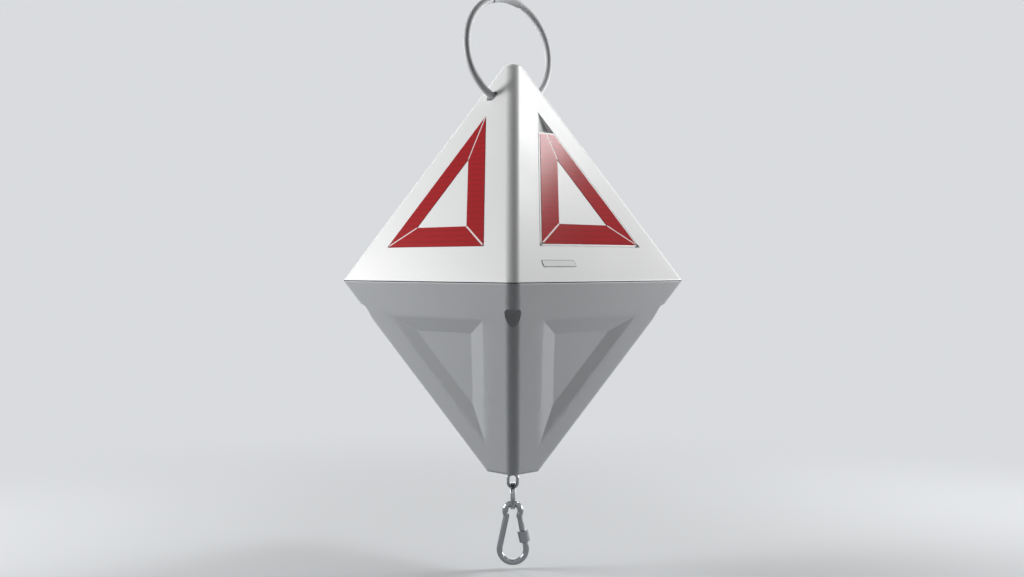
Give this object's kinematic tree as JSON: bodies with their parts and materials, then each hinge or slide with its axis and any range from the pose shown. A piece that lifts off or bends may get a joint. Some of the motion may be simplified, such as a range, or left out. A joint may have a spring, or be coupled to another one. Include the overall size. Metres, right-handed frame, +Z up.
{
  "type": "navigation buoy",
  "caption": "Bipyramid float buoy with red reflector strips, a hinged hatch, a swinging carry ring and an eye, split ring and screw-gate snap hook below.",
  "frame": {"origin": "middle of the seam between the two halves, the level the moored buoy floats at", "axes": "+Z up through the apex; the hatch face looks along -Y; the carry ring's mouths lie on X"},
  "size_m": [0.2984, 0.2984, 0.7012],
  "materials": {
    "white_plastic": "satin, smooth moulded",
    "grey_plastic": "fine grained moulded",
    "gasket": "matt",
    "red_reflector": "gloss over fine prisms",
    "ring_plastic": "diffuse moulded",
    "steel": "polished stainless"
  },
  "bodies": {
    "hull": {"upper_shell": "white_plastic", "lower_shell": "grey_plastic", "seam_gasket": "gasket", "reflector_right": "red_reflector", "reflector_back": "red_reflector", "reflector_left": "red_reflector", "bay_tray": "white_plastic", "hinge_pins": "steel", "eye_bolt": "steel"},
    "ring": {"carry_ring": "ring_plastic", "ring_sleeve": "ring_plastic"},
    "hatch": {"hatch_lid": "white_plastic", "hatch_reflector": "red_reflector"},
    "link": {"split_ring": "steel"},
    "hook": {"hook_body": "steel", "gate_pin": "steel"},
    "gate": {"hook_gate": "steel"},
    "sleeve": {"screw_sleeve": "steel"}
  },
  "joints": [
    {"name": "ring_swing", "type": "hinge", "parent": "hull", "child": "ring", "pos_m": [0, 0.002, 0.222], "axis": [0.9974, -0.0715, 0], "range_deg": [-89, 100]},
    {"name": "hatch_hinge", "type": "hinge", "parent": "hull", "child": "hatch", "pos_m": [0, -0.12407, 0.04194], "axis": [1, 0, 0], "range_deg": [0, 92]},
    {"name": "link_swing", "type": "hinge", "parent": "hull", "child": "link", "pos_m": [0, 0, -0.2541], "axis": [0.7071, -0.7071, 0], "range_deg": [-80, 80]},
    {"name": "hook_swing", "type": "hinge", "parent": "link", "child": "hook", "pos_m": [0, 0, -0.28297], "axis": [-0.7071, -0.7071, 0], "range_deg": [-90, 90]},
    {"name": "gate_hinge", "type": "hinge", "parent": "hook", "child": "gate", "pos_m": [0.00645, -0.00645, -0.29445], "axis": [0.7071, 0.7071, 0], "range_deg": [0, 25], "stiffness_Nm_per_rad": 0.05, "springref_deg": -17.19},
    {"name": "sleeve_slide", "type": "slide", "parent": "gate", "child": "sleeve", "axis": [0.147, -0.147, -0.9781], "range_m": [0, 0.0045]}
  ]
}
